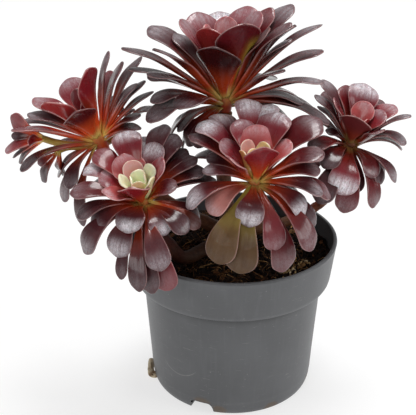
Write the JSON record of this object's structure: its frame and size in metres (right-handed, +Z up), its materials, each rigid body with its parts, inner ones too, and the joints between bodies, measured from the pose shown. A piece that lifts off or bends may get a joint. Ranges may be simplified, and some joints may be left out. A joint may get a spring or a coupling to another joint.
{
  "type": "potted aeonium",
  "caption": "Branching succulent with dark rosettes of spoon-shaped leaves on woody stems, rooted in soil in a round tapered nursery pot with a collar.",
  "frame": {"origin": "centre of the pot's flat underside, on the surface it stands on", "axes": "+Z up along the pot's axis; the plant's front, with the lowest rosettes, faces -Y; +X to the right seen from the front"},
  "size_m": [0.2205, 0.1342, 0.2212],
  "materials": {
    "pot_plastic": "satin grey plastic, slightly dusty",
    "soil": "dark fibrous potting soil",
    "stem_bark": "orange-brown bark with leaf scars",
    "root": "pale fibrous root",
    "leaf": "waxy maroon leaf with a pale bloom and pink margin"
  },
  "bodies": {
    "root": {"pot": "pot_plastic", "soil": "soil", "stem": "stem_bark", "drain_root": "root", "rosette_top": "leaf", "rosette_left": "leaf", "rosette_front_left": "leaf", "rosette_front": "leaf", "rosette_right": "leaf"}
  },
  "joints": []
}
